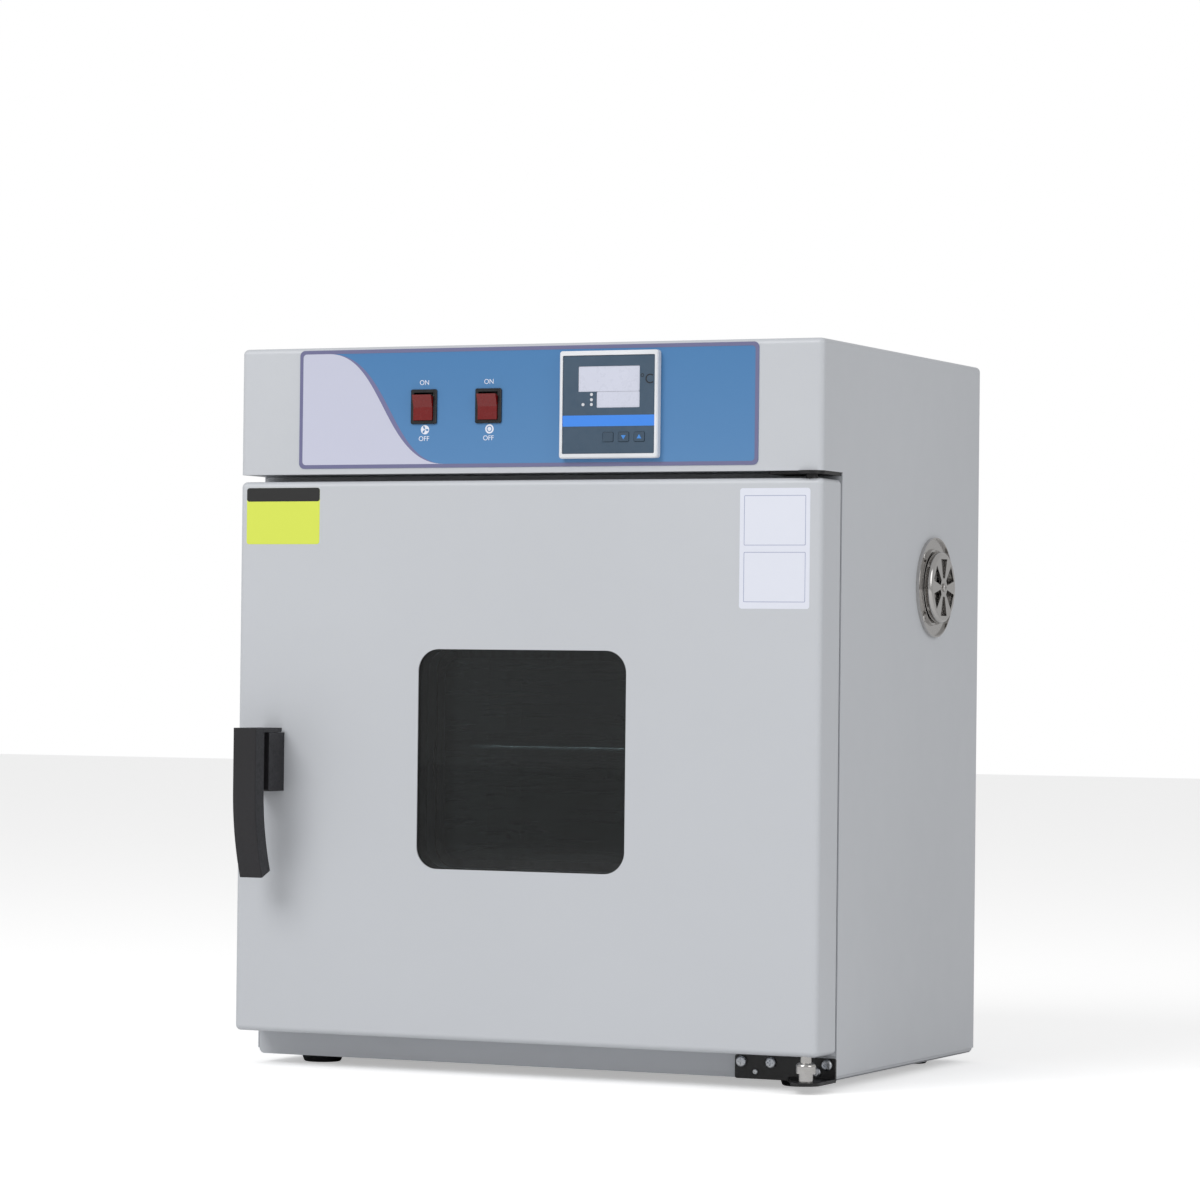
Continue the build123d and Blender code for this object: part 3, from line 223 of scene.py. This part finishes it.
class Surface:
    """A material under construction: one Principled shader and what feeds it."""

    def __init__(self, name, colour, roughness, metallic=0.0):
        self.material = bpy.data.materials.new(name)
        self.material.use_nodes = True
        self.tree = self.material.node_tree
        self.shader = self.tree.nodes["Principled BSDF"]
        self.set("Base Color", four(colour))
        self.set("Roughness", roughness)
        self.set("Metallic", metallic)

    def set(self, socket, value):
        self.shader.inputs[socket].default_value = value

    def node(self, kind, **values):
        made = self.tree.nodes.new(kind)
        for key, value in values.items():
            setattr(made, key, value)
        return made

    def link(self, source, target):
        self.tree.links.new(source, target)

    def noise(self, scale, detail=2.0, stretch=(1.0, 1.0, 1.0)):
        """Noise over the object's own coordinates, finer along the axes with a large stretch."""
        place = self.node("ShaderNodeTexCoord")
        mapping = self.node("ShaderNodeMapping")
        mapping.inputs["Scale"].default_value = stretch
        texture = self.node("ShaderNodeTexNoise")
        texture.inputs["Scale"].default_value = scale
        texture.inputs["Detail"].default_value = detail
        self.link(place.outputs["Object"], mapping.inputs["Vector"])
        self.link(mapping.outputs["Vector"], texture.inputs["Vector"])
        return texture.outputs["Fac"]

    def height(self, bottom, top):
        """0 at the bottom height of the object's own coordinates, 1 at the top one."""
        place = self.node("ShaderNodeTexCoord")
        split = self.node("ShaderNodeSeparateXYZ")
        self.link(place.outputs["Object"], split.inputs["Vector"])
        return self.ranged(split.outputs["Z"], bottom, top, 0.0, 1.0)

    def ranged(self, source, start, end, low, high):
        """The source's values from start to end, moved to lie between low and high."""
        ranged = self.node("ShaderNodeMapRange")
        ranged.inputs["From Min"].default_value = start
        ranged.inputs["From Max"].default_value = end
        ranged.inputs["To Min"].default_value = low
        ranged.inputs["To Max"].default_value = high
        self.link(source, ranged.inputs["Value"])
        return ranged.outputs["Result"]

    def blend_colour(self, factor, first, second):
        mix = self.node("ShaderNodeMix", data_type="RGBA")
        mix.inputs["A"].default_value = four(first)
        mix.inputs["B"].default_value = four(second)
        self.link(factor, mix.inputs["Factor"])
        self.link(mix.outputs["Result"], self.shader.inputs["Base Color"])

    def vary_colour(self, noise, first, second):
        factor = self.ranged(noise, NOISE_LOW, NOISE_HIGH, 0.0, 1.0)
        self.blend_colour(factor, first, second)

    def vary_roughness(self, noise, low, high):
        roughness = self.ranged(noise, NOISE_LOW, NOISE_HIGH, low, high)
        self.link(roughness, self.shader.inputs["Roughness"])

    def bump(self, noise, distance, strength):
        bump = self.node("ShaderNodeBump")
        bump.inputs["Distance"].default_value = distance
        bump.inputs["Strength"].default_value = strength
        self.link(noise, bump.inputs["Height"])
        self.link(bump.outputs["Normal"], self.shader.inputs["Normal"])


def powder_coat(name, colour):
    """Semi-gloss powder coat: fine orange peel and a barely uneven tone."""
    surface = Surface(name, colour, roughness=0.4)
    tone = surface.noise(scale=2.2)
    sheen = surface.noise(scale=30.0)
    peel = surface.noise(scale=750.0, detail=3.0)
    surface.vary_colour(tone, scaled(colour, 0.975), scaled(colour, 1.025))
    surface.vary_roughness(sheen, low=0.36, high=0.46)
    surface.bump(peel, distance=0.06 * MM, strength=0.35)
    return surface.material


def brushed_steel(name, colour, roughness, stretch):
    """Steel sheet with grain along one axis."""
    surface = Surface(name, colour, roughness, metallic=1.0)
    grain = surface.noise(scale=260.0, detail=4.0, stretch=stretch)
    surface.vary_colour(grain, scaled(colour, 0.95), scaled(colour, 1.04))
    surface.vary_roughness(grain, low=roughness * 0.75, high=roughness * 1.3)
    surface.bump(grain, distance=0.03 * MM, strength=0.25)
    return surface.material


def polished_steel(name, colour):
    """Pressed and polished steel with faint handling marks."""
    surface = Surface(name, colour, roughness=0.13, metallic=1.0)
    handling = surface.noise(scale=90.0, detail=4.0)
    ripple = surface.noise(scale=60.0)
    surface.vary_roughness(handling, low=0.08, high=0.22)
    surface.bump(ripple, distance=0.05 * MM, strength=0.25)
    return surface.material


def plated_steel(name):
    """Zinc plate: slightly cloudy and cool."""
    surface = Surface(name, srgb(190, 194, 200), roughness=0.3, metallic=1.0)
    cloud = surface.noise(scale=120.0, detail=3.0)
    surface.vary_colour(cloud, srgb(170, 174, 182), srgb(206, 208, 210))
    surface.vary_roughness(cloud, low=0.22, high=0.4)
    return surface.material


def grained_plastic(name, colour):
    """Moulded plastic with a fine leathery grain."""
    surface = Surface(name, colour, roughness=0.46)
    tone = surface.noise(scale=8.0)
    sheen = surface.noise(scale=400.0, detail=3.0)
    grain = surface.noise(scale=1300.0)
    surface.vary_colour(tone, scaled(colour, 0.85), scaled(colour, 1.2))
    surface.vary_roughness(sheen, low=0.39, high=0.56)
    surface.bump(grain, distance=0.05 * MM, strength=0.4)
    return surface.material


def smooth_plastic(name, colour, roughness, coat=0.0):
    """Moulded plastic without grain; the coat is a gloss over it."""
    surface = Surface(name, colour, roughness)
    surface.set("Coat Weight", coat)
    surface.set("Coat Roughness", 0.08)
    tone = surface.noise(scale=14.0)
    sheen = surface.noise(scale=200.0)
    surface.vary_colour(tone, scaled(colour, 0.95), scaled(colour, 1.05))
    surface.vary_roughness(sheen, low=roughness * 0.8, high=roughness * 1.25)
    return surface.material


def printed_film(name, colour, foot=None):
    """Satin polyester film with a very fine tooth; its tone may change towards the foot."""
    surface = Surface(name, colour, roughness=0.42)
    low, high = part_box("membrane_panel")
    height = surface.height(low.z, high.z)
    tooth = surface.noise(scale=1600.0)
    surface.blend_colour(height, foot or scaled(colour, 1.03), colour)
    surface.bump(tooth, distance=0.02 * MM, strength=0.3)
    return surface.material


def tinted_glass(name, colour):
    """Glass with a slow waviness."""
    surface = Surface(name, colour, roughness=0.01)
    surface.set("Transmission Weight", 1.0)
    surface.set("IOR", 1.45)
    wave = surface.noise(scale=6.0, detail=1.0)
    surface.bump(wave, distance=0.02 * MM, strength=0.15)
    return surface.material


def soft_rubber(name, colour, roughness):
    """Matt rubber with a fine skin."""
    surface = Surface(name, colour, roughness)
    tone = surface.noise(scale=20.0)
    skin = surface.noise(scale=600.0, detail=3.0)
    surface.vary_colour(tone, scaled(colour, 0.9), scaled(colour, 1.12))
    surface.bump(skin, distance=0.06 * MM, strength=0.5)
    return surface.material


def mineral_wool(name):
    """Yellow wool whose fibres lie mostly upright."""
    surface = Surface(name, srgb(198, 180, 116), roughness=0.95)
    fibres = surface.noise(scale=340.0, detail=6.0, stretch=(1.0, 1.0, 0.25))
    surface.vary_colour(fibres, srgb(160, 138, 78), srgb(220, 205, 150))
    surface.bump(fibres, distance=1.2 * MM, strength=0.8)
    return surface.material


def finish_table(colours):
    """Each finish with the CAD nodes that have it."""
    return (
        (powder_coat("grey_powder_coat", colours.paint),
         ("outer_shell", "door_skin", "header_floor", "base_pan", "front_frame", "back_panel",
          "door_inner_panel")),
        (brushed_steel("stainless_sheet", srgb(186, 186, 184), 0.3, stretch=(0.04, 0.04, 1.0)),
         ("chamber_liner", "duct_plate", "latch_pocket", "vent_tube")),
        (brushed_steel("stainless_trim", srgb(176, 180, 180), 0.36, stretch=(1.0, 1.0, 0.05)),
         ("window_frame", "shelf_rails", "temperature_probe")),
        (polished_steel("drawn_wire", srgb(205, 205, 203)), ("wire_shelf",)),
        (polished_steel("polished_steel", srgb(196, 194, 192)),
         ("vent_flange", "vent_cap", "vent_pivot", "vent_screws", "lower_hinge_pin")),
        (plated_steel("zinc_plate"),
         ("back_screws", "duct_screws", "hinge_screws", "handle_screws", "motor_bracket",
          "striker", "latch_hook", "handle_pin", "hinge_blocks", "fan_shaft",
          "heater_element")),
        (powder_coat("black_coat", srgb(16, 16, 18)),
         ("lower_hinge_bracket", "upper_hinge_bracket")),
        (grained_plastic("grained_black", colours.plastic),
         ("handle_lever", "handle_block", "power_inlet")),
        (smooth_plastic("switch_black", srgb(24, 24, 27), roughness=0.3),
         ("fan_switch_housing", "power_switch_housing", "power_relay")),
        (smooth_plastic("rocker_red", colours.rocker, roughness=0.25, coat=0.25),
         ("fan_rocker", "power_rocker")),
        (printed_film("overlay_blue", colours.overlay, foot=colours.overlay_foot),
         ("membrane_panel",)),
        (smooth_plastic("case_white", srgb(226, 228, 232), roughness=0.4),
         ("controller_case",)),
        (smooth_plastic("face_slate", colours.slate, roughness=0.4, coat=0.15),
         ("controller_face",)),
        (smooth_plastic("key_slate", scaled(colours.slate, 0.85), roughness=0.5),
         ("set_key", "down_key", "up_key")),
        (smooth_plastic("display_film", srgb(206, 209, 224), roughness=0.3, coat=0.3),
         ("display_windows",)),
        (smooth_plastic("led_clear", srgb(214, 216, 222), roughness=0.2, coat=0.5),
         ("indicator_leds",)),
        (tinted_glass("tinted_glass", colours.glass), ("outer_glass", "inner_glass")),
        (soft_rubber("black_rubber", srgb(22, 23, 27), roughness=0.7),
         ("rubber_feet", "window_seal")),
        (soft_rubber("grey_silicone", srgb(196, 194, 188), roughness=0.6), ("door_gasket",)),
        (mineral_wool("mineral_wool"), ("cabinet_insulation", "door_insulation")),
        (brushed_steel("cast_aluminium", srgb(180, 182, 184), 0.45, stretch=(1.0, 1.0, 1.0)),
         ("fan_impeller", "fan_motor")),
    )


def rounded_outline(x0, x1, z0, z1, radius):
    """Corner points of a rounded rectangle in the front plane."""
    points = []
    corners = ((x1 - radius, z1 - radius, 0), (x0 + radius, z1 - radius, 90),
               (x0 + radius, z0 + radius, 180), (x1 - radius, z0 + radius, 270))
    for x, z, start in corners:
        for step in range(CORNER_STEPS + 1):
            angle = radians(start + 90 * step / CORNER_STEPS)
            points.append((x + radius * cos(angle), z + radius * sin(angle)))
    return points


def circle_outline(x, z, radius):
    """Points of a circle in the front plane."""
    angles = [2 * pi * step / CIRCLE_STEPS for step in range(CIRCLE_STEPS)]
    return [(x + radius * cos(angle), z + radius * sin(angle)) for angle in angles]


def bezier(start, first, second, end, t):
    """The point at t, from 0 to 1, of a cubic curve with two handles."""
    u = 1 - t
    return tuple(u**3 * a + 3 * u * u * t * b + 3 * u * t * t * c + t**3 * d
                 for a, b, c, d in zip(start, first, second, end))


def new_object(name, data):
    """An object of the scene that holds the data."""
    made = bpy.data.objects.new(name, data)
    bpy.context.scene.collection.objects.link(made)
    return made


def mesh_print(name, curve, x, z, face_y, thickness, material, body):
    """Turns a flat curve or text into a mesh that lies on the face at face_y."""
    source = new_object(name + "_source", curve)
    graph = bpy.context.evaluated_depsgraph_get()
    mesh = bpy.data.meshes.new_from_object(source.evaluated_get(graph))
    bpy.data.objects.remove(source)
    stand = Matrix.Translation((x, face_y - thickness / 2, z)) @ Matrix.Rotation(pi / 2, 4, "X")
    mesh.transform(stand)
    mesh.materials.clear()
    mesh.materials.append(material)
    piece = new_object(name, mesh)
    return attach(piece, body)


def flat_print(name, outlines, face_y, thickness, material, body):
    """A thin printed shape in the front plane; an outline inside another is a hole."""
    curve = bpy.data.curves.new(name, "CURVE")
    curve.dimensions = "2D"
    curve.fill_mode = "BOTH"
    curve.extrude = thickness / 2
    for outline in outlines:
        spline = curve.splines.new("POLY")
        spline.points.add(len(outline) - 1)
        for point, (x, z) in zip(spline.points, outline):
            point.co = (x, z, 0.0, 1.0)
        spline.use_cyclic_u = True
    return mesh_print(name, curve, 0, 0, face_y, thickness, material, body)


def word(name, text, x, z, height, face_y, thickness, material, body):
    """Plain lettering centred on a point of the front plane."""
    curve = bpy.data.curves.new(name, "FONT")
    curve.body = text
    curve.size = height * FONT_SIZE_PER_HEIGHT
    curve.align_x = "CENTER"
    curve.align_y = "CENTER"
    curve.extrude = thickness / 2
    return mesh_print(name, curve, x, z, face_y, thickness, material, body)


class INCUBATOR_OT_finishes(bpy.types.Operator):
    """Gives every carried-over solid its finish"""

    bl_idname = "incubator.finishes"
    bl_label = "Finishes"

    def execute(self, context):
        for material, names in finish_table(context.scene.incubator_finishes):
            for name in names:
                mesh = CAD_NODES[name].data
                mesh.materials.clear()
                mesh.materials.append(material)
        return {"FINISHED"}


class INCUBATOR_OT_overlay(bpy.types.Operator):
    """Prints the border, the pale field and its line on the header's overlay"""

    bl_idname = "incubator.overlay"
    bl_label = "Overlay prints"

    def execute(self, context):
        colours = context.scene.incubator_finishes
        prints = context.scene.incubator_prints
        low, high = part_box("membrane_panel")
        left = low.x + prints.border
        right = high.x - prints.border
        bottom = low.z + prints.border
        top = high.z - prints.border

        outer = rounded_outline(low.x, high.x, low.z, high.z, OVERLAY_CORNER)
        inner = rounded_outline(left, right, bottom, top, OVERLAY_CORNER - prints.border / 2)
        border = printed_film("print_border", colours.overlay_border)
        flat_print("overlay_border", [outer, inner], low.y, prints.film, border, "cabinet")

        edge = self.field_edge(low.x, bottom, top)
        corners = [(left + FIELD_CORNER, bottom), (left, bottom + FIELD_CORNER),
                   (left, top - FIELD_CORNER), (left + FIELD_CORNER, top)]
        pale = printed_film("print_pale", colours.overlay_pale)
        flat_print("overlay_field", [edge + corners], low.y, prints.film, pale, "cabinet")

        beside = [(x + prints.stroke * sin(pi * k / CURVE_STEPS) ** STROKE_TAPER, z)
                  for k, (x, z) in enumerate(edge)]
        stroke = printed_film("print_stroke", colours.overlay_line)
        flat_print("overlay_stroke", [edge + beside[-2:0:-1]], low.y,
                   prints.film * STROKE_FILM_SHARE, stroke, "cabinet")
        return {"FINISHED"}

    def field_edge(self, left, bottom, top):
        """The S-shaped right edge of the pale field, from its top to its bottom."""
        start = (left + FIELD_TOP_W, top)
        end = (left + FIELD_BOTTOM_W, bottom)
        first = (start[0] + FIELD_TOP_PULL, top)
        second = (end[0] - FIELD_BOTTOM_PULL, bottom)
        return [bezier(start, first, second, end, step / CURVE_STEPS)
                for step in range(CURVE_STEPS + 1)]


class INCUBATOR_OT_switch_marks(bpy.types.Operator):
    """Adds the words, the discs and their signs beside both rocker switches"""

    bl_idname = "incubator.switch_marks"
    bl_label = "Switch marks"

    def execute(self, context):
        colours = context.scene.incubator_finishes
        prints = context.scene.incubator_prints
        film = prints.film
        height = prints.mark_height
        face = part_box("membrane_panel")[0].y
        white = printed_film("print_white", colours.mark)
        blue = printed_film("print_mark", colours.overlay)
        for side, sign in (("fan", self.fan_sign), ("power", self.power_sign)):
            low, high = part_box(side + "_switch_housing")
            x = (low.x + high.x) / 2
            on_z = high.z + ON_WORD_RISE
            off_z = low.z - OFF_WORD_DROP
            word(side + "_on_word", "ON", x, on_z, height, face, film, white, "cabinet")
            word(side + "_off_word", "OFF", x, off_z, height, face, film, white, "cabinet")
            disc_x = x + DISC_SHIFT
            disc_z = low.z - DISC_DROP
            disc = circle_outline(disc_x, disc_z, DISC_R)
            flat_print(side + "_disc", [disc], face, film, white, "cabinet")
            outlines = sign(disc_x, disc_z)
            flat_print(side + "_pictogram", outlines, face - film, film, blue, "cabinet")
        return {"FINISHED"}

    def fan_sign(self, x, z):
        """Outlines of three blades round a point."""
        blades = []
        for number in range(BLADES):
            turn = radians(90 + 360 * number / BLADES)
            blade = []
            for step in range(BLADE_STEPS + 1):
                angle = turn + radians(BLADE_START + BLADE_SWEEP * step / BLADE_STEPS)
                reach = BLADE_REACH * sin(pi * step / BLADE_STEPS) ** BLADE_FULLNESS
                radius = reach + BLADE_ROOT_R
                blade.append((x + radius * cos(angle), z + radius * sin(angle)))
            blades.append(blade)
        return blades

    def power_sign(self, x, z):
        """Outlines of a ring round a point."""
        return [circle_outline(x, z, RING_R), circle_outline(x, z, RING_BORE_R)]


class INCUBATOR_OT_controller_marks(bpy.types.Operator):
    """Adds the bright band, the unit mark and the arrows of the controller"""

    bl_idname = "incubator.controller_marks"
    bl_label = "Controller marks"

    def execute(self, context):
        colours = context.scene.incubator_finishes
        film = context.scene.incubator_prints.film
        low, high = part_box("controller_face")

        outline = rounded_outline(low.x, high.x, high.z - BAND_BOTTOM, high.z - BAND_TOP,
                                  BAND_CORNER)
        band = printed_film("print_band", colours.band, foot=scaled(colours.band, 0.9))
        flat_print("controller_band", [outline], low.y, film, band, "cabinet")

        dark = printed_film("print_dark", colours.unit)
        word("controller_unit", "°C", high.x - UNIT_INSET, high.z - UNIT_DROP, UNIT_H, low.y,
             film, dark, "cabinet")

        arrow = printed_film("print_arrow", colours.arrow)
        for name, way in (("down", -1), ("up", 1)):
            key_low, key_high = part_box(name + "_key")
            x = (key_low.x + key_high.x) / 2
            z = (key_low.z + key_high.z) / 2
            tail_z = z - way * ARROW_TAIL
            triangle = [(x, z + way * ARROW_TIP), (x - ARROW_HALF_W, tail_z),
                        (x + ARROW_HALF_W, tail_z)]
            flat_print(name + "_arrow", [triangle], key_low.y, film, arrow, "key_" + name)
        return {"FINISHED"}


class INCUBATOR_OT_labels(bpy.types.Operator):
    """Sticks the two plain labels on the door"""

    bl_idname = "incubator.labels"
    bl_label = "Door labels"

    def execute(self, context):
        colours = context.scene.incubator_finishes
        prints = context.scene.incubator_prints
        low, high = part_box("door_skin")
        self.yellow_label(low.x + YELLOW_INSET, high.z - YELLOW_DROP, low.y, colours, prints)
        self.white_label(high.x - WHITE_INSET, high.z - WHITE_DROP, low.y, colours, prints)
        return {"FINISHED"}

    def yellow_label(self, left, top, face, colours, prints):
        """A yellow label with a dark head, placed by its upper left corner."""
        film = prints.film
        right = left + prints.yellow_width
        yellow = printed_film("label_yellow", colours.yellow)
        black = printed_film("label_black", colours.yellow_head)
        sheet = rounded_outline(left, right, top - prints.yellow_height, top, prints.label_radius)
        flat_print("yellow_label", [sheet], face, film, yellow, "door")
        head = rounded_outline(left, right, top - YELLOW_HEAD_H, top, prints.label_radius)
        flat_print("yellow_label_head", [head], face - film, film * INK_FILM_SHARE, black, "door")

    def white_label(self, right, top, face, colours, prints):
        """A white label with two ruled panes, placed by its upper right corner."""
        film = prints.film
        height = prints.white_height
        left = right - prints.white_width
        white = printed_film("label_white", colours.white)
        rule = printed_film("label_rule", colours.rule)
        sheet = rounded_outline(left, right, top - height, top, prints.label_radius)
        flat_print("white_label", [sheet], face, film, white, "door")
        x0 = left + PANE_MARGIN
        x1 = right - PANE_MARGIN
        for number, start in enumerate(PANE_STARTS):
            z1 = top - start * height
            z0 = z1 - PANE_H
            outer = rounded_outline(x0, x1, z0, z1, PANE_CORNER)
            inner = rounded_outline(x0 + RULE_W, x1 - RULE_W, z0 + RULE_W, z1 - RULE_W,
                                    PANE_BORE_CORNER)
            flat_print(f"white_label_frame_{number}", [outer, inner], face - film,
                       film * INK_FILM_SHARE, rule, "door")


class INCUBATOR_OT_stage(bpy.types.Operator):
    """Sets the floor, the lamps, the world and the camera"""

    bl_idname = "incubator.stage"
    bl_label = "Stage"

    def execute(self, context):
        studio = context.scene.incubator_studio
        self.floor()
        self.lamp("key", KEY_PLACE, KEY_SIZE, studio.key)
        self.lamp("fill", FILL_PLACE, FILL_SIZE, studio.key * FILL_SHARE)
        self.world(studio.world)
        self.camera(studio)
        context.scene.view_settings.view_transform = "Standard"
        return {"FINISHED"}

    def floor(self):
        """A white floor that looks lit to the camera and lights nothing."""
        reach = FLOOR_REACH
        corners = [(-reach, -reach, 0), (reach, -reach, 0), (reach, reach, 0), (-reach, reach, 0)]
        mesh = bpy.data.meshes.new("floor")
        mesh.from_pydata(corners, [], [(0, 1, 2, 3)])
        surface = Surface("floor_white", FLOOR_WHITE, FLOOR_ROUGHNESS)
        rays = surface.node("ShaderNodeLightPath")
        glow = surface.node("ShaderNodeMath", operation="MULTIPLY")
        glow.inputs[1].default_value = FLOOR_GLOW
        surface.link(rays.outputs["Is Camera Ray"], glow.inputs[0])
        surface.link(glow.outputs[0], surface.shader.inputs["Emission Strength"])
        surface.set("Emission Color", four(WHITE))
        mesh.materials.append(surface.material)
        floor = new_object("floor", mesh)

    def lamp(self, name, place, size, power):
        """A round lamp that faces the object's middle."""
        light = bpy.data.lights.new(name, "AREA")
        light.shape = "DISK"
        light.size = size
        light.energy = power
        lamp = new_object(name, light)
        lamp.location = place
        lamp.rotation_euler = (LAMP_AIM - place).to_track_quat("-Z", "Y").to_euler()

    def world(self, strength):
        """A white world: full strength to the camera and the given one as light."""
        world = bpy.data.worlds.new("studio")
        world.use_nodes = True
        nodes = world.node_tree.nodes
        links = world.node_tree.links
        background = nodes["Background"]
        background.inputs["Color"].default_value = four(WHITE)
        rays = nodes.new("ShaderNodeLightPath")
        pick = nodes.new("ShaderNodeMapRange")
        pick.inputs["To Min"].default_value = strength
        pick.inputs["To Max"].default_value = 1.0
        links.new(rays.outputs["Is Camera Ray"], pick.inputs["Value"])
        links.new(pick.outputs["Result"], background.inputs["Strength"])
        bpy.context.scene.world = world

    def camera(self, studio):
        """A camera at the studio's place, aimed by its turn, tilt and roll."""
        ahead = Vector((-sin(studio.turn) * cos(studio.tilt),
                        cos(studio.turn) * cos(studio.tilt), sin(studio.tilt)))
        level = Vector((cos(studio.turn), sin(studio.turn), 0))
        upright = level.cross(ahead)
        right = level * cos(studio.roll) + upright * sin(studio.roll)
        up = upright * cos(studio.roll) - level * sin(studio.roll)
        view = Matrix((right, up, -ahead)).transposed().to_4x4()
        data = bpy.data.cameras.new("camera")
        data.lens = studio.lens
        data.sensor_width = SENSOR_W_MM
        camera = new_object("camera", data)
        camera.matrix_world = Matrix.Translation(studio.camera) @ view
        bpy.context.scene.camera = camera


OPERATORS = (
    INCUBATOR_OT_finishes,
    INCUBATOR_OT_overlay,
    INCUBATOR_OT_switch_marks,
    INCUBATOR_OT_controller_marks,
    INCUBATOR_OT_labels,
    INCUBATOR_OT_stage,
)


class INCUBATOR_PT_panel(bpy.types.Panel):
    """Lists the incubator's operators and settings in the sidebar"""

    bl_label = "Incubator"
    bl_idname = "INCUBATOR_PT_panel"
    bl_space_type = "VIEW_3D"
    bl_region_type = "UI"
    bl_category = "Incubator"

    def draw(self, context):
        for operator in OPERATORS:
            self.layout.operator(operator.bl_idname)
        for group in ("incubator_finishes", "incubator_prints", "incubator_studio"):
            settings = getattr(context.scene, group)
            for key in settings.__annotations__:
                self.layout.prop(settings, key)


CLASSES = (IncubatorFinishes, IncubatorPrints, IncubatorStudio, *OPERATORS, INCUBATOR_PT_panel)


def register():
    for item in CLASSES:
        bpy.utils.register_class(item)
    scene = bpy.types.Scene
    scene.incubator_finishes = bpy.props.PointerProperty(type=IncubatorFinishes)
    scene.incubator_prints = bpy.props.PointerProperty(type=IncubatorPrints)
    scene.incubator_studio = bpy.props.PointerProperty(type=IncubatorStudio)


def unregister():
    scene = bpy.types.Scene
    del scene.incubator_studio
    del scene.incubator_prints
    del scene.incubator_finishes
    for item in reversed(CLASSES):
        bpy.utils.unregister_class(item)


def main():
    register()
    for operator in OPERATORS:
        group, name = operator.bl_idname.split(".")
        getattr(getattr(bpy.ops, group), name)()


if __name__ == "__main__":
    main()
